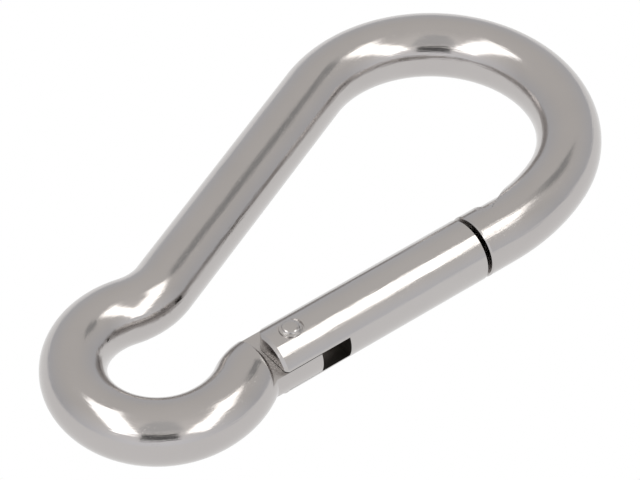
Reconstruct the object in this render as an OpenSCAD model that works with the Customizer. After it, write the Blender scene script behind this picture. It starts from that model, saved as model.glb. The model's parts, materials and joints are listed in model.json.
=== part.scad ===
// Pear-shaped spring hook bent from round stainless bar.
// The bar starts at the nose, runs round the wide bow, down a straight spine, through a
// shallow kink and round the small eye, and ends in a flat tang that the gate turns on.
// Everything is laid out with the gate along X, the nose joint near x = 0 and the bar's
// mid-plane at z = 0. placed() then moves the middle of the whole outline to the origin.

/* [Bar] */
// Diameter of the bar that the hook is bent from
rod_d = 11; // [10.8:0.1:11.2]
// Centreline radius of the easy bend next to the nose
nose_bend_r = 37; // [36:0.5:38]
// Angle of the easy bend next to the nose
nose_bend_deg = 25; // [24:0.5:26]
// Centreline radius of the wide bow
bow_r = 23; // [22.5:0.25:23.5]
// Angle that the wide bow turns through
bow_deg = 179; // [178:0.5:180]
// Centreline radius of the kink between the spine and the eye
kink_r = 12; // [11:0.5:13]
// Angle of the kink, which turns the other way
kink_deg = 38.5; // [37.5:0.5:39.5]
// Centreline radius of the small eye
eye_r = 13.75; // [13.5:0.25:14]
// Angle that the small eye turns through
eye_deg = 188; // [186.5:0.5:189.5]
// Centreline radius where the eye opens out to the hinge
eye_end_r = 16; // [15:0.5:17]
// Angle where the eye opens out to the hinge
eye_end_deg = 40; // [38.5:0.5:41.5]
// Centreline radius of the bend that lines the tang up with the gate
tang_bend_r = 6; // [5.8:0.1:6.5]

/* [Gate] */
// Diameter of the gate's bar
gate_d = 11; // [10.8:0.1:11.2]
// X of the nose's end face
nose_end_x = -2.3; // [-2.5:0.1:-2.1]
// Gap between the nose and the closed gate
nose_gap = 0.6; // [0.5:0.05:0.8]
// X of the hinge rivet
pivot_x = -40.2; // [-40.4:0.1:-40]
// Length of the gate past the rivet
gate_tail = 4.7; // [4.5:0.1:4.8]
// Radius about the rivet that rounds the gate's rear inner corner
gate_swing_r = 4.9; // [4.85:0.05:5]
// Length of the fork slot from the rivet to its closed end
slot_reach = 8.2; // [7.8:0.1:8.6]
// Width of the bevel round the gate's two ends
gate_bevel = 0.5; // [0.3:0.1:0.6]
// Angle of the gate when it is fully open
gate_open_deg = 40; // [30:1:40]

/* [Tang] */
// Thickness of the flattened end of the bar
tang_t = 4; // [3.6:0.1:4.2]
// Radius of the domed end of the round bar, behind the tang
dome_r = 8.5; // [8:0.5:10]
// Gap between the dome and the rounded end of the gate
dome_gap = 0.4; // [0.3:0.1:0.6]
// Gap between the tang and each cheek of the gate
cheek_gap = 0.1; // [0.05:0.05:0.2]
// Distance from the rivet to the flat end of the tang
tang_reach = 2.45; // [2.3:0.05:2.6]
// Lever arm of the plunger's push on the tang
cam_arm = 1.4; // [1.2:0.1:1.5]
// Gap between the tang's end and the plunger's face
cam_gap = 0.03; // [0.02:0.01:0.05]

/* [Latch] */
// X of the shoulder that the gate's hammer head hooks behind
latch_x = 2.0; // [1.8:0.1:2.2]
// Height of the underside of the hammer head above the gate's axis
head_low_y = 1.25; // [1.1:0.05:1.4]
// Length of the hammer head along its underside
head_low_len = 0.7; // [0.6:0.1:0.9]
// Angle of the hammer head's sloping front
head_slope_deg = 32; // [30:1:36]
// Width of the neck between the gate and the hammer head
neck_w = 3.2; // [2.8:0.1:3.6]
// Gap round the latch when it is closed
latch_gap = 0.15; // [0.12:0.01:0.2]

/* [Rivet, plunger and spring] */
// Diameter of the rivet's shank
rivet_d = 2.6; // [2.4:0.1:2.8]
// Diameter of the rivet's heads
rivet_head_d = 3.9; // [3.6:0.1:4.1]
// Height of a rivet head above the crown of the gate
rivet_head_h = 0.45; // [0.3:0.05:0.6]
// Diameter of the blind bore for the spring
bore_d = 3.8; // [3.7:0.05:3.9]
// Depth of the bore past the slot's closed end
bore_depth = 20; // [18:1:22]
// Length of the plunger's head
plunger_len = 10; // [9:0.5:11]
// Length of the plunger's stem inside the spring
stem_len = 6; // [5:0.5:8]
// Diameter of the plunger's stem
stem_d = 1.8; // [1.6:0.1:2]
// Diameter of the spring's wire
wire_d = 0.7; // [0.6:0.05:0.75]
// Outer diameter of the spring
spring_d = 3.6; // [3.5:0.05:3.65]
// Number of working turns
spring_turns = 9; // [7:1:10]

/* [Hidden] */
$fn = 64;
rod_r = rod_d / 2;
gate_r = gate_d / 2;
past = 1; // how far a cut runs past the face it opens
running = 0.05; // radial clearance of a running fit
steel = "#b9b5b0";
bright_steel = "#cfccc8";
spring_steel = "#a9a7a4";

// Unit vector along a heading, and the same turned a quarter to the left
function along(deg) = [cos(deg), sin(deg)];
function left_of(deg) = [-sin(deg), cos(deg)];

// Bends in order from the nose: centreline radius, turn with left positive, and whether the
// bend's ends tuck into its neighbours. A tucked stretch is a hair thinner, so no two of the
// bar's surfaces lie on each other where the stretches join.
bends = [
    [nose_bend_r, nose_bend_deg, true],
    [bow_r, bow_deg, false],
    [kink_r, -kink_deg, false],
    [eye_r, eye_deg, true],
    [eye_end_r, eye_end_deg, false],
    [tang_bend_r, 360 - nose_bend_deg - bow_deg + kink_deg - eye_deg - eye_end_deg, true]
];
tuck_len = 0.1; // how far a tucked stretch runs into its neighbour
tuck_d = rod_d - 0.06; // its diameter
spine_after = 1; // the straight spine follows this bend
// Heading before bend i, and the step that bend i makes
function heading(i) = i == 0 ? 0 : heading(i - 1) + bends[i - 1][1];
function side(i) = sign(bends[i][1]);
function bend_step(i) =
    side(i) * bends[i][0] * (left_of(heading(i)) - left_of(heading(i + 1)));
function steps_sum(i) = i < 0 ? [0, 0] : steps_sum(i - 1) + bend_step(i);
// The spine's length is what brings the tang back into line with the gate
last_bend = len(bends) - 1;
spine_deg = heading(spine_after + 1);
spine_len = -steps_sum(last_bend)[1] / sin(spine_deg);
nose_straight = 3.4; // the bar is straight from its end face to here
function bend_start(i) =
    [nose_straight, 0] + steps_sum(i - 1) + (i > spine_after ? spine_len : 0) * along(spine_deg);
function bend_centre(i) = bend_start(i) + side(i) * bends[i][0] * left_of(heading(i));
tang_start = bend_start(last_bend) + bend_step(last_bend);

// The outline's limits are set by the bow, the eye and the eye's open end
bow_c = bend_centre(1);
eye_c = bend_centre(3);
eye_end_c = bend_centre(4);
low_corner = [eye_c[0] - eye_r - rod_r, eye_end_c[1] - eye_end_r - rod_r];
high_corner = [bow_c[0] + bow_r + rod_r, bow_c[1] + bow_r + rod_r];
middle = (low_corner + high_corner) / 2;

gate_nose_x = nose_end_x - nose_gap;
gate_tail_x = pivot_x - gate_tail;
slot_end_x = pivot_x + slot_reach;
bore_end_x = slot_end_x + bore_depth;
slot_w = tang_t + 2 * cheek_gap;
// The domed end of the bar stops just short of the circle that the gate's end swings on
dome_x = pivot_x - gate_swing_r - dome_gap - dome_r;
dome_rim_x = dome_x + sqrt(dome_r * dome_r - rod_r * rod_r);
plunger_x = pivot_x + tang_reach + cam_gap;
latch_r = latch_x - pivot_x;

// Moves the gate-aligned layout so that the whole outline is centred on the origin
module placed() {
    translate([-middle[0], -middle[1], 0]) children();
}

// Round bar along X between two stations
module bar_x(x0, x1, d) {
    translate([x0, 0, 0]) rotate([0, 90, 0]) cylinder(d = d, h = x1 - x0);
}

// Round bar along one bend of the centreline
module bar_bend(i) {
    turn = abs(bends[i][1]);
    first = side(i) > 0 ? heading(i) - 90 : heading(i) + 90 - turn;
    tucked = bends[i][2];
    extra = tucked ? tuck_len / bends[i][0] * 180 / PI : 0;
    translate([bend_centre(i)[0], bend_centre(i)[1], 0]) rotate([0, 0, first - extra])
        rotate_extrude(angle = turn + 2 * extra) translate([bends[i][0], 0])
            circle(d = tucked ? tuck_d : rod_d);
}

// The straight spine between the bow and the kink, tucked into both
module bar_spine() {
    from = bend_start(spine_after) + bend_step(spine_after) - tuck_len * along(spine_deg);
    translate([from[0], from[1], 0]) rotate([0, 0, spine_deg])
        bar_x(0, spine_len + 2 * tuck_len, tuck_d);
}

// What is milled off above and below the tang, which leaves the round bar with a domed end
module tang_flats() {
    from = dome_rim_x - past;
    length = pivot_x + tang_reach + past - from;
    half_w = rod_r + past;
    difference() {
        for (z = [-half_w, tang_t / 2]) translate([from, -half_w, z])
            cube([length, 2 * half_w, half_w - tang_t / 2]);
        translate([dome_x, 0, 0]) sphere(r = dome_r);
    }
}

// Outline of what the tang's rounded inner corner loses. The curve is an involute, so a flat
// plunger face at the lever arm moves back by the arm times the angle that the gate turns.
module cam_cut() {
    steps = 8;
    last = gate_open_deg + 6;
    curve = [
        for (i = [0 : steps])
            let (a = last * i / steps, reach = tang_reach + cam_arm * a * PI / 180)
                reach * along(a) + cam_arm * left_of(a)
    ];
    far = 8;
    end = curve[steps];
    outline = concat(curve, [[end[0], far], [far, far], [far, cam_arm]]);
    translate([pivot_x, 0, -rod_r]) linear_extrude(rod_d) polygon(outline);
}

// Profile of the latch seen from above, grown by g for the pocket in the nose
module head_profile(g) {
    low = head_low_y - g;
    high = rod_r + past;
    // the sloping front keeps the gap g from the head, measured square to the slope
    front = latch_x + head_low_len + g / sin(head_slope_deg) - g / tan(head_slope_deg);
    slope = (high - low) / tan(head_slope_deg);
    polygon([[latch_x - 2, low], [front, low], [front + slope, high], [latch_x - 2, high]]);
}

// The hammer head or its pocket: the profile outside a circle about the rivet
module head_block(g, w) {
    difference() {
        translate([0, 0, -w / 2]) linear_extrude(w) head_profile(g);
        translate([pivot_x, 0, -w]) cylinder(r = latch_r - g, h = 2 * w, $fn = 180);
    }
}

// Pocket and neck slot cut in the nose from the inner side
module latch_pocket() {
    head_block(latch_gap, rod_d + past);
    neck_slot_w = neck_w + 2 * latch_gap;
    translate([nose_end_x - past, neck_low_y() - latch_gap, -neck_slot_w / 2])
        cube([latch_x - nose_end_x + 2 * past, rod_r + past, neck_slot_w]);
}

// Underside of the neck, a little below the underside of the head
function neck_low_y() = head_low_y - 1;

module hook_body() {
    color(steel) placed() difference() {
        union() {
            bar_x(nose_end_x, nose_straight, rod_d);
            for (i = [0 : last_bend]) bar_bend(i);
            bar_spine();
            bar_x(tang_start[0], pivot_x + tang_reach, rod_d);
        }
        tang_flats();
        cam_cut();
        translate([pivot_x, 0, -rod_r]) cylinder(d = rivet_d + 2 * running, h = rod_d);
        latch_pocket();
    }
}

// Bar of the gate with both ends bevelled
module gate_bar() {
    length = gate_nose_x - gate_tail_x;
    profile = [
        [0, 0], [gate_r - gate_bevel, 0], [gate_r, gate_bevel],
        [gate_r, length - gate_bevel], [gate_r - gate_bevel, length], [0, length]
    ];
    translate([gate_tail_x, 0, 0]) rotate([0, 90, 0]) rotate_extrude() polygon(profile);
}

// Tongue that reaches into the nose: a narrow neck and the hammer head
module tongue() {
    inset = 0.3; // the tongue's inner side sits this far below the bar's
    intersection() {
        union() {
            translate([gate_nose_x - past, neck_low_y(), -neck_w / 2])
                cube([latch_x - gate_nose_x + 2 * past, rod_r - neck_low_y(), neck_w]);
            head_block(0, rod_d);
        }
        bar_x(gate_nose_x - past, nose_straight + rod_d, gate_d - 2 * inset);
    }
}

module gate() {
    color(bright_steel) placed() difference() {
        union() {
            gate_bar();
            tongue();
        }
        translate([gate_tail_x - past, -rod_d, -slot_w / 2])
            cube([slot_end_x - gate_tail_x + past, 2 * rod_d, slot_w]);
        tail_corner();
        bar_x(slot_end_x - past, bore_end_x, bore_d);
        translate([pivot_x, 0, -rod_d]) cylinder(d = rivet_d, h = 2 * rod_d);
        rivet_seats();
    }
}

// What the gate's rear inner corner loses, so that it swings past the domed end of the bar
module tail_corner() {
    difference() {
        translate([gate_tail_x - past, 0, -rod_d]) cube([gate_tail + past, rod_d, 2 * rod_d]);
        translate([pivot_x, 0, -rod_d - past]) cylinder(r = gate_swing_r, h = 2 * (rod_d + past), $fn = 96);
    }
}

// Flat seats round the rivet's heads in the crown of the gate
module rivet_seats() {
    depth = 0.3;
    for (s = [-1, 1]) translate([pivot_x, 0, s * (gate_r - depth + rod_r)])
        cylinder(d = rivet_head_d + 0.6, h = rod_d, center = true);
}

module hinge_rivet() {
    seat_z = gate_r - 0.3;
    top_z = gate_r + rivet_head_h;
    rim = 0.25;
    dome = top_z - seat_z - rim;
    head_r = rivet_head_d / 2;
    dome_r = (head_r * head_r + dome * dome) / (2 * dome);
    color(bright_steel) placed() translate([pivot_x, 0, 0]) {
        cylinder(d = rivet_d, h = 2 * seat_z, center = true);
        for (s = [0, 1]) mirror([0, 0, s]) intersection() {
            translate([0, 0, seat_z]) cylinder(r = head_r, h = 2);
            translate([0, 0, top_z - dome_r]) sphere(r = dome_r);
        }
    }
}

module plunger() {
    head_end = plunger_x + plunger_len;
    color(bright_steel) placed() {
        bar_x(plunger_x, head_end, bore_d - 2 * running);
        bar_x(head_end, head_end + stem_len, stem_d);
    }
}

// Coil spring between the plunger's shoulder and the bottom of the bore
module gate_spring() {
    sides = 8;
    per_turn = 14;
    rest = 1; // closed turns at each end
    turns = spring_turns + 2 * rest;
    rings = turns * per_turn;
    coil_r = (spring_d - wire_d) / 2;
    from = plunger_x + plunger_len + running;
    length = bore_end_x - running - from;
    pitch = (length - wire_d - 2 * rest * wire_d) / spring_turns;
    // distance along the axis after t turns: closed, open, closed
    function rise(t) = min(t, rest) * wire_d + max(0, min(t - rest, spring_turns)) * pitch
        + max(0, t - rest - spring_turns) * wire_d;
    function wire_point(i, j) =
        let (a = 360 * i / per_turn, b = 360 * j / sides, r = coil_r + wire_d / 2 * cos(b))
            [from + wire_d / 2 + rise(i / per_turn) + wire_d / 2 * sin(b), r * cos(a), r * sin(a)];
    points = [for (i = [0 : rings]) for (j = [0 : sides - 1]) wire_point(i, j)];
    walls = [
        for (i = [0 : rings - 1]) for (j = [0 : sides - 1])
            let (k = (j + 1) % sides)
                [i * sides + j, i * sides + k, (i + 1) * sides + k, (i + 1) * sides + j]
    ];
    caps = [
        [for (j = [sides - 1 : -1 : 0]) j],
        [for (j = [0 : sides - 1]) rings * sides + j]
    ];
    color(spring_steel) placed() polyhedron(points = points, faces = concat(walls, caps));
}

hook_body();
gate();
hinge_rivet();
gate_spring();
plunger();
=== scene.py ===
# %% [markdown]
# # A spring hook of polished steel bar
#
# The real object is one length of round stainless bar bent into a pear shape, with a short
# length of the same bar hinged across its mouth as a gate. A rivet, a coil spring and a small
# plunger make the gate close by itself.
#
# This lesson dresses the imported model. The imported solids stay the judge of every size: each
# piece below is made in the same place, from the same few driving dimensions.

# %% The fixed frame
import json
import math

import bmesh
import bpy
from mathutils import Matrix, Vector


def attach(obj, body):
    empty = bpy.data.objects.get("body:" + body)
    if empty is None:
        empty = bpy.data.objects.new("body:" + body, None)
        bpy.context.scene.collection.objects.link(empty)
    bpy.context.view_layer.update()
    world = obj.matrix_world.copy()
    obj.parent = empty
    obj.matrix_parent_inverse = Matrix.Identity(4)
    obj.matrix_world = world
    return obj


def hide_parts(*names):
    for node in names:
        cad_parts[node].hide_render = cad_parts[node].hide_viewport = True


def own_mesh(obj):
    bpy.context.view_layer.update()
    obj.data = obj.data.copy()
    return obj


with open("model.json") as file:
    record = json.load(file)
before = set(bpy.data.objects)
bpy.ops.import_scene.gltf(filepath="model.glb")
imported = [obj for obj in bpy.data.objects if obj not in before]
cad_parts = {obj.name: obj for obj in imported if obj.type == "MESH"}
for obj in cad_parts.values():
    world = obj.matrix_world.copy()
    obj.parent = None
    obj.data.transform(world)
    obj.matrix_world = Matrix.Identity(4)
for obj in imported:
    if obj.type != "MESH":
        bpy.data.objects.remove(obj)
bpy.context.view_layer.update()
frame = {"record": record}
MM = 0.001

# %% [markdown]
# ## Measures
#
# The joint record says where the gate turns. Lengths are in millimetres, as a drawing of the
# hook would give them, and `MM` turns them into metres when a mesh is made. Places along the
# hook are written with the gate's axis as X and the rivet as zero, because that is how the
# hook is gauged at the bench; `ORIGIN` carries them into the shared frame.

# %% Measures
hinge = next(j for j in frame["record"]["behaviour"]["joints"] if j["name"] == "gate_hinge")
ORIGIN = Vector(hinge["pos_m"]) / MM
BAR_R = 5.5
NOSE_END = 37.9
NOSE_GAP = 0.6  # between the closed gate and the nose
GATE_NOSE = NOSE_END - NOSE_GAP
GATE_TAIL = -4.7
SWING_R = 4.9  # the circle about the rivet that the gate's rounded end swings on
HEAD_PROUD = 0.45  # height of the rivet's heads above the bar
print("rivet axis at", [round(v, 3) for v in ORIGIN], "mm")


def placed(x, y, z):
    """A point of the bench drawing, in metres in the shared frame."""
    return (Vector((x, y, z)) + ORIGIN) * MM


# %% [markdown]
# ## The camera
#
# A long lens from well back keeps the two ends of the hook in proportion. The camera is put
# on a ball round its target with an azimuth and an elevation, so its place stays readable.

# %% The camera
CAMERA_AZIMUTH = math.radians(-38.24)
CAMERA_ELEVATION = math.radians(45.29)
CAMERA_DISTANCE = 0.699
CAMERA_TARGET = Vector((-0.6215, -4.9657, 0)) * MM
CAMERA_LENS = 238.15


def away(azimuth, elevation):
    """Direction from the middle of the stage towards an azimuth and elevation."""
    level = math.cos(elevation)
    return Vector((math.sin(azimuth) * level, -math.cos(azimuth) * level, math.sin(elevation)))


scene = bpy.context.scene
camera = bpy.data.objects.new("camera", bpy.data.cameras.new("camera"))
scene.collection.objects.link(camera)
back = away(CAMERA_AZIMUTH, CAMERA_ELEVATION)
camera.location = CAMERA_TARGET + back * CAMERA_DISTANCE
camera.rotation_euler = (-back).to_track_quat("-Z", "Y").to_euler()
camera.data.lens = CAMERA_LENS
camera.data.clip_start = 0.01
scene.camera = camera
scene.view_settings.view_transform = "Standard"
print("camera at", [round(v, 3) for v in camera.location])

# %% [markdown]
# ## Nodes written as sums
#
# Materials and Geometry Nodes are both trees of nodes. `Tree.node` makes any node from its
# type, its settings and what goes into its sockets. It hands back a `Wire`, and sums on wires
# add the Math nodes themselves, so that `1 - mask` reads as it would on paper.

# %% Node helpers
class Wire:
    """One output socket of a tree, which can be used in sums."""

    def __init__(self, tree, socket):
        self.tree = tree
        self.socket = socket

    def math(self, operation, *values):
        return self.tree.node(
            "ShaderNodeMath", {"operation": operation}, dict(enumerate(values))
        )

    def __add__(self, other):
        return self.math("ADD", self, other)

    def __radd__(self, other):
        return self.math("ADD", other, self)

    def __sub__(self, other):
        return self.math("SUBTRACT", self, other)

    def __rsub__(self, other):
        return self.math("SUBTRACT", other, self)

    def __mul__(self, other):
        return self.math("MULTIPLY", self, other)

    def __rmul__(self, other):
        return self.math("MULTIPLY", other, self)

    def __truediv__(self, other):
        return self.math("DIVIDE", self, other)

    def clamped(self, low, high):
        return self.math("MINIMUM", self.math("MAXIMUM", self, low), high)


class Tree:
    """A node tree with one way to add a node."""

    def __init__(self, nodes_of):
        self.tree = nodes_of

    def node(self, kind, settings=None, sockets=None, output=0):
        made = self.tree.nodes.new(kind)
        for name, value in (settings or {}).items():
            setattr(made, name, value)
        for name, value in (sockets or {}).items():
            self.feed(made.inputs[name], value)
        return Wire(self, made.outputs[output]) if made.outputs else None

    def feed(self, socket, value):
        if isinstance(value, Wire):
            self.tree.links.new(value.socket, socket)
        else:
            socket.default_value = value


# %% [markdown]
# ## The stage
#
# Polished steel shows its surroundings more than itself, so the stage is most of the look.
# The floor is a lit white table, which leaves no shadow and gives the underside of the bar its
# even grey. Two rows of softboxes make the long crisp streaks, and a dark card low on the
# camera's side puts the thin dark line between them.

# %% The floor and the sky
FLOOR_Z = -BAR_R - HEAD_PROUD
FLOOR_R = 2500
FLOOR_SIDES = 96


def glowing(name, colour, strength):
    material = bpy.data.materials.new(name)
    material.use_nodes = True
    material.node_tree.nodes.clear()
    tree = Tree(material.node_tree)
    glow = tree.node("ShaderNodeEmission", {}, {"Color": (*colour, 1), "Strength": strength})
    tree.node("ShaderNodeOutputMaterial", {}, {"Surface": glow})
    return material


def flat_mesh(name, corners, material):
    mesh = bpy.data.meshes.new(name)
    mesh.from_pydata(corners, [], [range(len(corners))])
    mesh.materials.append(material)
    thing = bpy.data.objects.new(name, mesh)
    scene.collection.objects.link(thing)
    return thing


rim_angles = [math.tau * i / FLOOR_SIDES for i in range(FLOOR_SIDES)]
floor_rim = [
    Vector((math.cos(a) * FLOOR_R, math.sin(a) * FLOOR_R, FLOOR_Z)) * MM for a in rim_angles
]
flat_mesh("floor", floor_rim, glowing("white table", (1, 1, 1), 1.0))


def seen_from_camera(azimuth_deg, elevation_deg):
    """Direction of a place as the camera's stand sees it: 0 is ahead, positive to the right."""
    turned = CAMERA_AZIMUTH + math.pi - math.radians(azimuth_deg)
    return away(turned, math.radians(elevation_deg))


SKY_FAR = 0.68
SKY_LIFT = 0.12
SKY_NEAR = 0.36
SKY_TINT_RISE = 1.5
SKY_LOW_COLOUR = (0.98, 1.0, 1.045, 1)
SKY_HIGH_COLOUR = (1.0, 0.978, 0.95, 1)
world = bpy.data.worlds.new("studio")
scene.world = world
world.use_nodes = True
world.node_tree.nodes.clear()
sky = Tree(world.node_tree)
direction = sky.node("ShaderNodeTexCoord")
height = sky.node("ShaderNodeSeparateXYZ", {}, {"Vector": direction}, "Z")
near = sky.node("ShaderNodeVectorMath", {"operation": "DOT_PRODUCT"},
                {0: direction, 1: seen_from_camera(180, 0)}, "Value")
glow = SKY_FAR + SKY_LIFT * height.clamped(0, 1) + SKY_NEAR * near.clamped(0, 1)
tinted = sky.node("ShaderNodeMix", {"data_type": "RGBA"},
                  {0: (height * SKY_TINT_RISE).clamped(0, 1), 6: SKY_LOW_COLOUR, 7: SKY_HIGH_COLOUR}, 2)
shade = sky.node("ShaderNodeBackground", {}, {"Color": tinted, "Strength": glow})
sky.node("ShaderNodeOutputWorld", {}, {"Surface": shade})
print("floor at", round(FLOOR_Z, 2), "mm")

# %% [markdown]
# ## Softboxes and cards
#
# A round bar squeezes the whole room into a few lines along it, so each line is placed by
# what stands at one direction. The softboxes run in two rows, one each side, and follow the
# curve of the room as short straight boxes. The cards take light away: a bar looks round
# only where something darker stands beside something bright.

# %% Softboxes and cards
LAMP_R = 1.3  # metres from the middle of the stage to every softbox and card
SOFTBOX_RADIANCE = 2.1
# Each stop of a row is an azimuth, an elevation and a half-width, all in degrees
RIGHT_ROW = [(62, 62, 7), (95, 54.5, 7), (128, 43, 9), (146, 26, 11)]
LEFT_ROW = [(-62, 65, 8), (-100, 62, 9), (-137, 46, 10), (-151, 28, 10)]


def softbox(name, start, end, colour):
    a = seen_from_camera(*start[:2]) * LAMP_R
    b = seen_from_camera(*end[:2]) * LAMP_R
    length = (b - a).length
    width = 2 * LAMP_R * math.tan(math.radians((start[2] + end[2]) / 2))
    lamp = bpy.data.lights.new(name, "AREA")
    lamp.shape = "RECTANGLE"
    lamp.size = length
    lamp.size_y = width
    lamp.color = colour
    lamp.energy = SOFTBOX_RADIANCE * math.pi * length * width
    thing = bpy.data.objects.new(name, lamp)
    scene.collection.objects.link(thing)
    middle = (a + b) / 2
    x_axis = (b - a).normalized()
    z_axis = (middle - x_axis * middle.dot(x_axis)).normalized()
    y_axis = z_axis.cross(x_axis)
    turn = Matrix((x_axis, y_axis, z_axis)).transposed().to_4x4()
    thing.matrix_world = Matrix.Translation(middle) @ turn
    thing.visible_camera = False


RIGHT_COLOUR = (1, 0.985, 0.95)
LEFT_COLOUR = (1, 1, 0.99)
for side, row, colour in (("right", RIGHT_ROW, RIGHT_COLOUR), ("left", LEFT_ROW, LEFT_COLOUR)):
    for i in range(len(row) - 1):
        softbox(f"softbox_{side}_{i}", row[i], row[i + 1], colour)


def card(name, azimuths, elevations, radiance):
    corners = [(azimuths[i], elevations[j]) for i, j in ((0, 0), (1, 0), (1, 1), (0, 1))]
    points = [seen_from_camera(*corner) * LAMP_R for corner in corners]
    thing = flat_mesh(name, points, glowing(name, (1, 1, 1), radiance))
    thing.visible_camera = False


card("dark_card_near", (163, 196), (17, 37), 0.15)
card("grey_card_overhead", (156, 203), (40, 80), 0.68)
card("dark_card_lens", (173, 186), (44, 48), 0.2)
card("dark_card_far", (34, 60), (42, 53), 0.40)
print("softboxes:", len(RIGHT_ROW) + len(LEFT_ROW) - 2)

# %% [markdown]
# ## Polished steel
#
# A polished bar is a mirror with a history. The wheel ran lengthwise, so the finest marks are
# long and thin and lie along the bar. Under them are small pits that the polishing did not
# reach, and over them a little unevenness where the wheel pressed harder. All of it is slight:
# the marks only fray the edges of the reflections. The patterns read `bar_place`, the place a
# point had in the straight bar, so the marks follow every bend.

# %% The steel finish
PIT_SCALE = 2300.0
PIT_SIZE = 0.16
FRAY_HEIGHT = 0.00001  # metres
GLOSS_OF_MARKS = 0.10
GLOSS_OF_WAVES = 0.08
GLOSS_OF_PITS = 0.15
WAVE_SHADE = 0.93


def steel(name, colour, roughness, marks, pits):
    material = bpy.data.materials.new(name)
    material.use_nodes = True
    material.node_tree.nodes.clear()
    tree = Tree(material.node_tree)
    place = tree.node("ShaderNodeAttribute", {"attribute_name": "bar_place"}, {}, "Vector")

    def stretched(scale, detail):
        sized = tree.node("ShaderNodeVectorMath", {"operation": "MULTIPLY"}, {0: place, 1: scale})
        return tree.node("ShaderNodeTexNoise", {}, {"Vector": sized, "Scale": 1.0, "Detail": detail})

    wheel_marks = stretched((260, 5200, 5200), 3.0)
    broad_marks = stretched((60, 900, 900), 2.0)
    waves = stretched((110, 170, 170), 2.0)
    pitting = tree.node("ShaderNodeTexVoronoi", {}, {"Vector": place, "Scale": PIT_SCALE})
    pit = 1 - (pitting / PIT_SIZE).clamped(0, 1)
    patchy = (stretched((160, 260, 260), 1.0) * 4 - 1.7).clamped(0, 1)
    fray = wheel_marks * marks + broad_marks * (marks * 0.6) - pit * patchy * pits
    bump = tree.node("ShaderNodeBump", {}, {"Distance": FRAY_HEIGHT, "Height": fray})
    gloss = roughness + (wheel_marks - 0.5) * GLOSS_OF_MARKS + (waves - 0.5) * GLOSS_OF_WAVES
    gloss = gloss + pit * patchy * GLOSS_OF_PITS
    darker = tuple(c * WAVE_SHADE for c in colour)
    tint = tree.node("ShaderNodeMix", {"data_type": "RGBA"},
                     {0: waves.clamped(0, 1), 6: (*darker, 1), 7: (*colour, 1)}, 2)
    body = tree.node("ShaderNodeBsdfPrincipled", {}, {
        "Base Color": tint, "Metallic": 1.0, "Roughness": gloss.clamped(0.03, 1), "Normal": bump,
    })
    tree.node("ShaderNodeOutputMaterial", {}, {"Surface": body})
    return material


BAR_COLOUR = (0.50, 0.478, 0.468)
polished_bar = steel("polished bar", BAR_COLOUR, 0.12, 1.6, 2.2)
polished_gate = steel("polished gate", (0.51, 0.49, 0.48), 0.11, 1.1, 1.0)
rivet_steel = steel("hammered rivet steel", (0.50, 0.48, 0.47), 0.16, 1.5, 2.5)
spring_steel = steel("drawn spring wire", (0.40, 0.39, 0.38), 0.25, 1.0, 0.5)
# Cut faces of the slots, pocket and bore: rougher than the polish, and dark as painted shade for these
# recesses
cut_steel_painted_shade = steel("cut steel with painted shade", (0.20, 0.185, 0.17), 0.36, 2.5, 2.0)
finishes = (polished_bar, polished_gate, rivet_steel, spring_steel, cut_steel_painted_shade)
print("finishes:", [m.name for m in finishes])

# %% [markdown]
# ## Turned shapes and extruded tools
#
# Three small helpers make every turned or milled shape. `lathe` spins a profile, as a lathe
# would. `prism` stands an outline up to a thickness, as a milling cutter's path does. `carve`
# joins, cuts or intersects one closed mesh with another and keeps only the finished mesh.

# %% Shop tools
LATHE_SIDES = 128
PAST = 1.0  # how far a cutter runs beyond what it cuts


def mesh_object(name, form):
    bmesh.ops.recalc_face_normals(form, faces=form.faces)
    mesh = bpy.data.meshes.new(name)
    form.to_mesh(mesh)
    form.free()
    thing = bpy.data.objects.new(name, mesh)
    scene.collection.objects.link(thing)
    return thing


def lathe(name, profile, axis="X", sides=LATHE_SIDES):
    """Spins (station, radius) pairs about X or Z through the rivet; a radius of 0 is a pole."""
    form = bmesh.new()
    rings = []
    for station, radius in profile:
        ring = []
        for i in range(1 if radius == 0 else sides):
            a = math.tau * i / sides
            u, v = radius * math.cos(a), radius * math.sin(a)
            point = (station, u, v) if axis == "X" else (u, v, station)
            ring.append(form.verts.new(placed(*point)))
        rings.append(ring)
    for low, high in zip(rings, rings[1:]):
        for i in range(sides):
            j = (i + 1) % sides
            corners = [low[i % len(low)], low[j % len(low)]]
            corners += [high[j % len(high)], high[i % len(high)]]
            form.faces.new(list(dict.fromkeys(corners)))
    return mesh_object(name, form)


def prism(name, outline, z_low, z_high):
    form = bmesh.new()
    floor_ring = [form.verts.new(placed(x, y, z_low)) for x, y in outline]
    face = form.faces.new(floor_ring)
    raised = bmesh.ops.extrude_face_region(form, geom=[face])["geom"]
    lifted = [v for v in raised if isinstance(v, bmesh.types.BMVert)]
    bmesh.ops.translate(form, verts=lifted, vec=Vector((0, 0, z_high - z_low)) * MM)
    return mesh_object(name, form)


def block(name, low, high):
    outline = [(low[0], low[1]), (high[0], low[1]), (high[0], high[1]), (low[0], high[1])]
    return prism(name, outline, low[2], high[2])


def settle(thing):
    """Replaces an object's mesh with what its modifiers make of it."""
    seen = thing.evaluated_get(bpy.context.evaluated_depsgraph_get())
    finished = bpy.data.meshes.new_from_object(seen)
    thing.modifiers.clear()
    thing.data = finished


def carve(thing, tool, operation="DIFFERENCE", leaves=None):
    """Works one closed mesh on another; the new faces can be left in a finish of their own."""
    if leaves:
        tool.data.materials.append(leaves)
    step = thing.modifiers.new("carve", "BOOLEAN")
    step.material_mode = "TRANSFER"
    step.operation = operation
    step.solver = "EXACT"
    step.object = tool
    settle(thing)
    bpy.data.objects.remove(tool)


def volume_mm3(thing):
    form = bmesh.new()
    form.from_mesh(thing.data)
    size = form.calc_volume()
    open_edges = sum(1 for e in form.edges if not e.is_manifold)
    form.free()
    return round(size / MM**3, 1), open_edges


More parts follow.
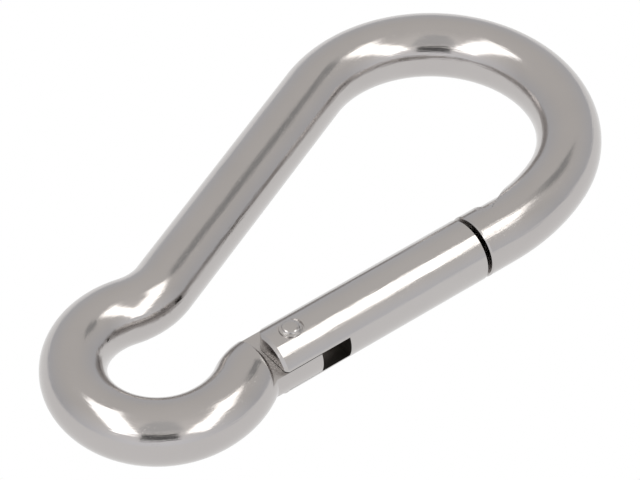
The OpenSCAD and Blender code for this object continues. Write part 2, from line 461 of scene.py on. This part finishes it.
# %% [markdown]
# ## The bent bar
#
# A bender makes the hook from one straight bar, bend after bend, and the mesh is made the
# same way: a line is walked through the list of bends, and Geometry Nodes sweep a round bar
# along it. The straight spine has no length of its own. It is what brings the tang back into
# line with the gate, so it is worked out. Each point also remembers its place in the bar as it
# was before bending, because the polishing marks run along the bar and turn with it.

# %% The bar's centreline
FIRST_BEND = 43.6
NOSE_STRAIGHT = FIRST_BEND - NOSE_END
# Each bend is the radius of its centreline and its turn in degrees, from the nose on
BENDS = [(37, 25), (23, 179), (12, -38.5), (13.75, 188), (16, 40), (6, -33.5)]
SPINE_AFTER = 1  # the spine follows the bow, the second of the bends
TANG_END = 2.45
STEP_DEG = 2
NOSE_STEPS = 4
SPINE_STEPS = 24
TANG_STEPS = 6
NOSE_BEVEL = 0.25


def walk(spine):
    """Points along the bar's centreline, with a straight spine of the given length."""
    points = [(NOSE_END, 0.0)]
    heading = 0.0

    def go(length, turn=0.0, steps=1):
        nonlocal heading
        for _ in range(steps):
            heading += turn / 2
            x, y = points[-1]
            points.append((x + length * math.cos(heading), y + length * math.sin(heading)))
            heading += turn / 2

    go(NOSE_BEVEL)
    go((NOSE_STRAIGHT - NOSE_BEVEL) / NOSE_STEPS, steps=NOSE_STEPS)
    for number, (radius, degrees) in enumerate(BENDS):
        steps = round(abs(degrees) / STEP_DEG)
        turn = math.radians(degrees) / steps
        chord = 2 * radius * math.sin(abs(turn) / 2)
        go(chord, turn, steps)
        if number == SPINE_AFTER and spine > 0:
            go(spine / SPINE_STEPS, steps=SPINE_STEPS)
    return points


spine_heading = math.radians(sum(turn for _, turn in BENDS[: SPINE_AFTER + 1]))
SPINE = -walk(0)[-1][1] / math.sin(spine_heading)
centreline = walk(SPINE)
tang_start = centreline[-1][0]
tang_len = TANG_END - tang_start
centreline += [(tang_start + tang_len * i / TANG_STEPS, 0.0) for i in range(1, TANG_STEPS + 1)]
print("spine", round(SPINE, 3), "mm; tang starts at", round(tang_start, 3), "mm")

# %% [markdown]
# ## Sweeping the bar
#
# A bar that follows a path is what Geometry Nodes do best: one tree turns the line into a
# curve, sweeps a circle along it and closes the ends, and its sizes stay inputs that can be
# changed. A curve object with a round bevel would look the same, but the tree can also store
# on every point its place in the straight bar, which the polishing marks need.

# %% Sweeping the bar with Geometry Nodes
BAR_SIDES = 96


def start_group(name, inputs):
    """A new Geometry Nodes group with its inputs, given as {name: (type, value)}."""
    group = bpy.data.node_groups.new(name, "GeometryNodeTree")
    group.interface.new_socket("Geometry", in_out="INPUT", socket_type="NodeSocketGeometry")
    for label, (kind, value) in inputs.items():
        socket = group.interface.new_socket(label, in_out="INPUT", socket_type=kind)
        if value is not None:
            socket.default_value = value
    group.interface.new_socket("Geometry", in_out="OUTPUT", socket_type="NodeSocketGeometry")
    tree = Tree(group)
    entry = group.nodes.new("NodeGroupInput")
    return group, tree, {s.name: Wire(tree, s) for s in entry.outputs if s.name}


def end_group(tree, shape, finish):
    """The last three nodes of every group: real geometry, its finish, and the way out."""
    real = tree.node("GeometryNodeRealizeInstances", {}, {"Geometry": shape})
    dressed = tree.node("GeometryNodeSetMaterial", {}, {"Geometry": real, "Material": finish})
    tree.node("NodeGroupOutput", {}, {"Geometry": dressed})


def run_nodes(thing, tree, values):
    """Runs a tree on an object, its inputs set by the sockets' identifiers, and keeps the mesh."""
    step = thing.modifiers.new("nodes", "NODES")
    step.node_group = tree
    for item in tree.interface.items_tree:
        if item.in_out == "INPUT" and item.name in values:
            step[item.identifier] = values[item.name]
    settle(thing)


def bar_tree():
    group, tree, sockets = start_group("round bar along a line", {
        "Radius": ("NodeSocketFloat", 0.005),
        "Sides": ("NodeSocketInt", 96),
        "End bevel": ("NodeSocketFloat", 0.0002),
        "Finish": ("NodeSocketMaterial", None),
    })
    radius, bevel = sockets["Radius"], sockets["End bevel"]
    line = tree.node("GeometryNodeMeshToCurve", {}, {"Mesh": sockets["Geometry"]})
    circle = tree.node("GeometryNodeCurvePrimitiveCircle", {},
                       {"Resolution": sockets["Sides"], "Radius": radius})
    place = tree.node("GeometryNodeInputPosition")
    on_points = {"data_type": "FLOAT_VECTOR", "domain": "POINT"}
    rim = tree.node("GeometryNodeStoreNamedAttribute", on_points,
                    {"Geometry": circle, "Name": "round_place", "Value": place})
    along = tree.node("GeometryNodeInputNamedAttribute", {"data_type": "FLOAT"}, {"Name": "along"})
    narrow = 1 - (1 - (along / bevel).clamped(0, 1)) * (bevel / radius)
    swept = tree.node("GeometryNodeCurveToMesh", {},
                      {"Curve": line, "Profile Curve": rim, "Scale": narrow, "Fill Caps": True})
    around = tree.node("GeometryNodeInputNamedAttribute", {"data_type": "FLOAT_VECTOR"},
                       {"Name": "round_place"})
    across = tree.node("ShaderNodeSeparateXYZ", {}, {"Vector": around}, "X")
    upward = tree.node("ShaderNodeSeparateXYZ", {}, {"Vector": around}, "Y")
    straight = tree.node("ShaderNodeCombineXYZ", {}, {"X": along, "Y": across, "Z": upward})
    marked = tree.node("GeometryNodeStoreNamedAttribute", on_points,
                       {"Geometry": swept, "Name": "bar_place", "Value": straight})
    end_group(tree, marked, sockets["Finish"])
    return group


def line_object(name, points):
    """The centreline as a mesh of edges, each point with its distance from the nose."""
    mesh = bpy.data.meshes.new(name)
    edges = [(i, i + 1) for i in range(len(points) - 1)]
    mesh.from_pydata([placed(x, y, 0) for x, y in points], edges, [])
    distance = mesh.attributes.new("along", "FLOAT", "POINT")
    travelled = 0.0
    for i, (x, y) in enumerate(points):
        travelled += math.dist((x, y), points[max(i - 1, 0)]) * MM
        distance.data[i].value = travelled
    thing = bpy.data.objects.new(name, mesh)
    scene.collection.objects.link(thing)
    return thing


# %% [markdown]
# ## The hook
#
# The swept bar is only the blank. The nose is then pocketed for the latch, and the other end is
# milled to a tang: two flats that leave the round bar with a domed end, a hole for the rivet,
# and a rounded corner that works the plunger. Those cuts are made as the shop makes them, one
# tool at a time.

# %% The blank
hook = line_object("hook_piece", centreline)
run_nodes(hook, bar_tree(), {
    "Radius": BAR_R * MM, "Sides": BAR_SIDES, "End bevel": NOSE_BEVEL * MM, "Finish": polished_bar,
})
form = bmesh.new()
form.from_mesh(hook.data)
bmesh.ops.recalc_face_normals(form, faces=form.faces)
form.to_mesh(hook.data)
form.free()
print("blank: volume mm3 and open edges", volume_mm3(hook))

# %% Milling the tang
TANG_T = 4.0
DOME_R = 8.5
DOME_GAP = 0.4
DOME_STEPS = 96
CAM_ARM = 1.4
CAM_STEPS = 24
CAM_SPARE = math.radians(6)  # turn past the open gate that the cam still serves
CAM_CUT_REACH = 8
GATE_OPEN = math.radians(hinge["range_deg"][1])
RIVET_R = 1.3
RUNNING = 0.05

dome_centre = -SWING_R - DOME_GAP - DOME_R
rim = dome_centre + math.sqrt(DOME_R**2 - BAR_R**2)
half = BAR_R + PAST
ball_angles = [math.pi * i / DOME_STEPS for i in range(DOME_STEPS + 1)]
ball = [(-DOME_R * math.cos(a), DOME_R * math.sin(a)) for a in ball_angles]
ball[0], ball[-1] = (-DOME_R, 0), (DOME_R, 0)
for low, high in ((-half, -TANG_T / 2), (TANG_T / 2, half)):
    mill = block("tang_mill", (rim - PAST, -half, low), (TANG_END + PAST, half, high))
    carve(mill, lathe("dome", [(dome_centre + x, r) for x, r in ball]))
    carve(hook, mill)


def cam_outline():
    """What the tang's inner corner loses: an involute, which moves the plunger evenly."""
    curve = []
    for i in range(CAM_STEPS + 1):
        a = (GATE_OPEN + CAM_SPARE) * i / CAM_STEPS
        reach = TANG_END + CAM_ARM * a
        curve.append((
            reach * math.cos(a) - CAM_ARM * math.sin(a),
            reach * math.sin(a) + CAM_ARM * math.cos(a),
        ))
    far = CAM_CUT_REACH
    return curve + [(curve[-1][0], far), (far, far), (far, CAM_ARM)]


carve(hook, prism("cam_cutter", cam_outline(), -BAR_R - PAST, BAR_R + PAST))
hole = [(-BAR_R, 0), (-BAR_R, RIVET_R + RUNNING), (BAR_R, RIVET_R + RUNNING), (BAR_R, 0)]
carve(hook, lathe("rivet_drill", hole, "Z", 48))
print("with its tang:", volume_mm3(hook))

# %% [markdown]
# ## The latch pocket
#
# The gate's hammer head drops into a pocket in the nose, so a pull on the hook cannot open
# the mouth. Head and pocket share one outline, and the pocket's is grown by a small gap, as
# a fitter would file one to the other. The cutters leave their faces in a darker, rougher finish:
# the roughness is the unpolished cut, and the dark colour is painted shade in the recesses.

# %% The latch pocket
LATCH_R = 42.2
HEAD_LOW = 1.25
HEAD_LOW_LEN = 0.7
HEAD_SLOPE = math.radians(32)
NECK_W = 3.2
NECK_LOW = HEAD_LOW - 1  # the neck starts this much lower than the head
LATCH_GAP = 0.15


def head_outline(gap, high):
    """The hammer head seen from above, grown by a gap for the pocket it sits in."""
    low = HEAD_LOW - gap
    shoulder = LATCH_R - gap
    front = LATCH_R + HEAD_LOW_LEN + gap / math.sin(HEAD_SLOPE) - gap / math.tan(HEAD_SLOPE)
    tip = front + (high - low) / math.tan(HEAD_SLOPE)
    steps = 12
    heights = [high + (low - high) * i / steps for i in range(steps + 1)]
    return [(front, low), (tip, high)] + [(math.sqrt(shoulder**2 - y * y), y) for y in heights]


pocket = head_outline(LATCH_GAP, BAR_R + PAST)
# The pocket and neck walls take the darker cut finish, whose dark colour is painted shade
carve(hook, prism("pocket_cutter", pocket, -BAR_R - PAST, BAR_R + PAST), leaves=cut_steel_painted_shade)
slot_half = NECK_W / 2 + LATCH_GAP
low_corner = (NOSE_END - PAST, NECK_LOW - LATCH_GAP, -slot_half)
high_corner = (LATCH_R + PAST, BAR_R + PAST, slot_half)
carve(hook, block("neck_cutter", low_corner, high_corner), leaves=cut_steel_painted_shade)
print("with its pocket:", volume_mm3(hook))

# %% [markdown]
# ## The gate
#
# The gate is turned from the same bar, with a small bevel round both ends. One end is slotted
# like a fork to take the tang, and drilled on past the slot for the spring. The other end
# carries a narrow neck and a hammer head, which the nose holds on to under load.

# %% The gate
GATE_BEVEL = 0.5
SLOT_END = 8.2
CHEEK_GAP = 0.1
BORE_R = 1.9
BORE_DEPTH = 20
BORE_END = SLOT_END + BORE_DEPTH
SEAT_R = 2.25
SEAT_DEPTH = 0.3
TONGUE_INSET = 0.3
TONGUE_ROOM = 14  # past the longest point of the tongue
GATE_STEPS = 24

gate_stations = [(GATE_TAIL, 0), (GATE_TAIL, BAR_R - GATE_BEVEL), (GATE_TAIL + GATE_BEVEL, BAR_R)]
plain = GATE_NOSE - GATE_BEVEL - (GATE_TAIL + GATE_BEVEL)
for i in range(1, GATE_STEPS):
    gate_stations.append((GATE_TAIL + GATE_BEVEL + plain * i / GATE_STEPS, BAR_R))
gate_stations += [(GATE_NOSE - GATE_BEVEL, BAR_R), (GATE_NOSE, BAR_R - GATE_BEVEL), (GATE_NOSE, 0)]
gate = lathe("gate_piece", gate_stations)
gate.data.materials.append(polished_gate)

tongue = prism("tongue", head_outline(0, BAR_R), -BAR_R, BAR_R)
neck = block("neck", (GATE_NOSE - PAST, NECK_LOW, -NECK_W / 2), (LATCH_R + PAST, BAR_R, NECK_W / 2))
carve(tongue, neck, "UNION")
limit_r = BAR_R - TONGUE_INSET
limit_from = GATE_NOSE - PAST
limit_to = LATCH_R + TONGUE_ROOM
limit = [(limit_from, 0), (limit_from, limit_r), (limit_to, limit_r), (limit_to, 0)]
carve(tongue, lathe("tongue_limit", limit), "INTERSECT")
carve(gate, tongue, "UNION")

slot_half = TANG_T / 2 + CHEEK_GAP
slot_low = (GATE_TAIL - PAST, -BAR_R - PAST, -slot_half)
# The slot and the bore take the darker cut finish, whose dark colour is painted shade
carve(gate, block("slot_cutter", slot_low, (SLOT_END, BAR_R + PAST, slot_half)), leaves=cut_steel_painted_shade)
tail_mill = block("tail_mill", (GATE_TAIL - PAST, 0, -half), (0, half, half))
swing = [(-half - PAST, 0), (-half - PAST, SWING_R), (half + PAST, SWING_R), (half + PAST, 0)]
carve(tail_mill, lathe("swing", swing, "Z"))
carve(gate, tail_mill)
bore = [(SLOT_END - PAST, 0), (SLOT_END - PAST, BORE_R), (BORE_END, BORE_R), (BORE_END, 0)]
carve(gate, lathe("bore_drill", bore, "X", 64), leaves=cut_steel_painted_shade)
hole = [(-BAR_R - PAST, 0), (-BAR_R - PAST, RIVET_R), (BAR_R + PAST, RIVET_R), (BAR_R + PAST, 0)]
carve(gate, lathe("gate_drill", hole, "Z", 48))
for side in (1, -1):
    seat_z = side * (BAR_R - SEAT_DEPTH)
    seat_far = side * (BAR_R + PAST)
    seat_cut = [(seat_z, 0), (seat_z, SEAT_R), (seat_far, SEAT_R), (seat_far, 0)]
    carve(gate, lathe("seat_cutter", seat_cut, "Z", 64))
print("gate:", volume_mm3(gate))

# %% [markdown]
# ## The rivet and the plunger
#
# Both are turned. The rivet's heads are low buttons with a thin flare round them, where the
# hammer spread the metal, and they sit in shallow flat seats. The plunger slides in the bore
# and pushes the tang, and its thin stem keeps the spring straight.

# %% The rivet
HEAD_R = 1.95
HEAD_TOP = BAR_R + HEAD_PROUD
seat = BAR_R - SEAT_DEPTH
FLARE_END = 0.6  # below the top, where the head has its full radius
# Depth below the top and radius, from the flat crown down to the rim
FLARE = [(0.02, 0.9), (0.07, 1.2), (0.17, 1.36), (0.30, 1.42), (0.40, 1.5), (0.47, 1.7), (0.53, 1.9)]
upper = [(HEAD_TOP, 0)] + [(HEAD_TOP - depth, radius) for depth, radius in FLARE]
upper += [(HEAD_TOP - FLARE_END, HEAD_R), (seat, HEAD_R), (seat, RIVET_R)]
rivet = lathe("hinge_rivet_piece", upper + [(-z, r) for z, r in reversed(upper)], "Z", 64)
print("rivet:", volume_mm3(rivet))

# %% The plunger
FACE_GAP = 0.03
PLUNGER_FACE = TANG_END + FACE_GAP
PLUNGER_LEN = 10
STEM_LEN = 6
STEM_R = 0.9
EASE = 0.2  # small rounding of the plunger's corners
slide_r = BORE_R - RUNNING
shoulder_x = PLUNGER_FACE + PLUNGER_LEN
stem_x = shoulder_x + STEM_LEN
plunger = lathe("plunger_piece", [
    (PLUNGER_FACE, 0), (PLUNGER_FACE, slide_r - EASE), (PLUNGER_FACE + EASE, slide_r),
    (shoulder_x, slide_r), (shoulder_x, STEM_R), (stem_x - EASE, STEM_R),
    (stem_x, STEM_R - EASE), (stem_x, 0),
], "X", 64)
print("plunger:", volume_mm3(plunger))

# %% [markdown]
# ## The spring
#
# A compression spring is a helix whose end turns are closed, so it stands square. Geometry
# Nodes bend a plain line of points into that helix by each point's number, and then sweep the
# wire along it.

# %% The spring
WIRE_R = 0.35
COIL_R = 1.45
TURNS = 9
REST_TURNS = 1
PER_TURN = 32
WIRE_SIDES = 16
spring_from = shoulder_x + RUNNING
spring_len = BORE_END - RUNNING - spring_from


def spring_tree():
    group, tree, sockets = start_group("coil spring", {
        "Wire radius": ("NodeSocketFloat", 0.0003),
        "Coil radius": ("NodeSocketFloat", 0.0015),
        "Length": ("NodeSocketFloat", 0.015),
        "Working turns": ("NodeSocketFloat", 9.0),
        "Closed turns": ("NodeSocketFloat", 1.0),
        "Points per turn": ("NodeSocketInt", 32),
        "Start": ("NodeSocketFloat", 0.0),
        "Axis Y": ("NodeSocketFloat", 0.0),
        "Finish": ("NodeSocketMaterial", None),
    })
    wire_r, coil_r, rest = sockets["Wire radius"], sockets["Coil radius"], sockets["Closed turns"]
    per_turn, working = sockets["Points per turn"], sockets["Working turns"]
    count = (working + rest * 2) * per_turn + 1
    line = tree.node("GeometryNodeMeshLine", {}, {"Count": count})
    turn = tree.node("GeometryNodeInputIndex") / per_turn
    pitch = (sockets["Length"] - wire_r * 2 - rest * wire_r * 4) / working
    closed = tree.node("ShaderNodeMath", {"operation": "MINIMUM"}, {0: turn, 1: rest})
    opened = tree.node("ShaderNodeMath", {"operation": "MINIMUM"}, {0: turn - rest, 1: working})
    ended = turn - rest - working
    rise = closed * (wire_r * 2) + opened.math("MAXIMUM", opened, 0) * pitch
    rise = rise + ended.math("MAXIMUM", ended, 0) * (wire_r * 2)
    angle = turn * math.tau
    place = tree.node("ShaderNodeCombineXYZ", {}, {
        "X": sockets["Start"] + wire_r + rise,
        "Y": sockets["Axis Y"] + coil_r * angle.math("COSINE", angle),
        "Z": coil_r * angle.math("SINE", angle),
    })
    helix = tree.node("GeometryNodeSetPosition", {}, {"Geometry": line, "Position": place})
    path = tree.node("GeometryNodeMeshToCurve", {}, {"Mesh": helix})
    circle = tree.node("GeometryNodeCurvePrimitiveCircle", {}, {"Resolution": WIRE_SIDES, "Radius": wire_r})
    wire = tree.node("GeometryNodeCurveToMesh", {},
                     {"Curve": path, "Profile Curve": circle, "Fill Caps": True})
    end_group(tree, wire, sockets["Finish"])
    return group


spring = bpy.data.objects.new("gate_spring_piece", bpy.data.meshes.new("gate_spring_piece"))
scene.collection.objects.link(spring)
run_nodes(spring, spring_tree(), {
    "Wire radius": WIRE_R * MM, "Coil radius": COIL_R * MM, "Length": spring_len * MM,
    "Working turns": float(TURNS), "Closed turns": float(REST_TURNS), "Points per turn": PER_TURN,
    "Start": placed(spring_from, 0, 0).x, "Axis Y": placed(0, 0, 0).y, "Finish": spring_steel,
})
print("spring:", volume_mm3(spring), "faces", len(spring.data.polygons))

# %% [markdown]
# ## Smoothness, places and finishes
#
# Round faces are shaded smooth and machined edges stay crisp. The turned pieces were never
# bent, so their place in the bar is simply their place in the shared frame, and the cut faces
# of the hook, which the swept bar does not know, take theirs the same way.

# %% Finishing every mesh
EDGE_ANGLE = math.radians(25)


def finish_mesh(thing, material):
    mesh = thing.data
    finish_of = [mesh.materials[f.material_index] if mesh.materials else None for f in mesh.polygons]
    mesh.materials.clear()
    mesh.materials.append(material)
    # Faces left by the recess cutters keep their dark finish, which is painted shade
    if cut_steel_painted_shade in finish_of:
        mesh.materials.append(cut_steel_painted_shade)
    mesh.polygons.foreach_set("material_index", [int(f == cut_steel_painted_shade) for f in finish_of])
    mesh.shade_smooth()
    mesh.set_sharp_from_angle(angle=EDGE_ANGLE)
    places = mesh.attributes.get("bar_place")
    if places is None or places.domain != "POINT":
        places = mesh.attributes.new("bar_place", "FLOAT_VECTOR", "POINT")
    own = 0
    for vertex, place in zip(mesh.vertices, places.data):
        if Vector(place.vector).length < MM * MM:
            place.vector = vertex.co
            own += 1
    print(thing.name, "vertices", len(mesh.vertices), "placed by themselves", own)


finish_mesh(hook, polished_bar)
finish_mesh(gate, polished_gate)
finish_mesh(rivet, rivet_steel)
finish_mesh(plunger, rivet_steel)
finish_mesh(spring, spring_steel)

# %% [markdown]
# ## Riding on the imported bodies
#
# Each piece stands for one imported node and moves with its body. The spring rides on the gate.

# %% Bodies
for piece, body, node, slot_name in (
    (hook, "hook", "hook_body", "polished_bar"),
    (gate, "gate", "gate", "polished_gate"),
    (rivet, "gate", "hinge_rivet", "rivet_steel"),
    (spring, "gate", "gate_spring", "spring_steel"),
    (plunger, "plunger", "plunger", "rivet_steel"),
):
    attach(piece, body)
    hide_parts(node)
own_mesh(spring)
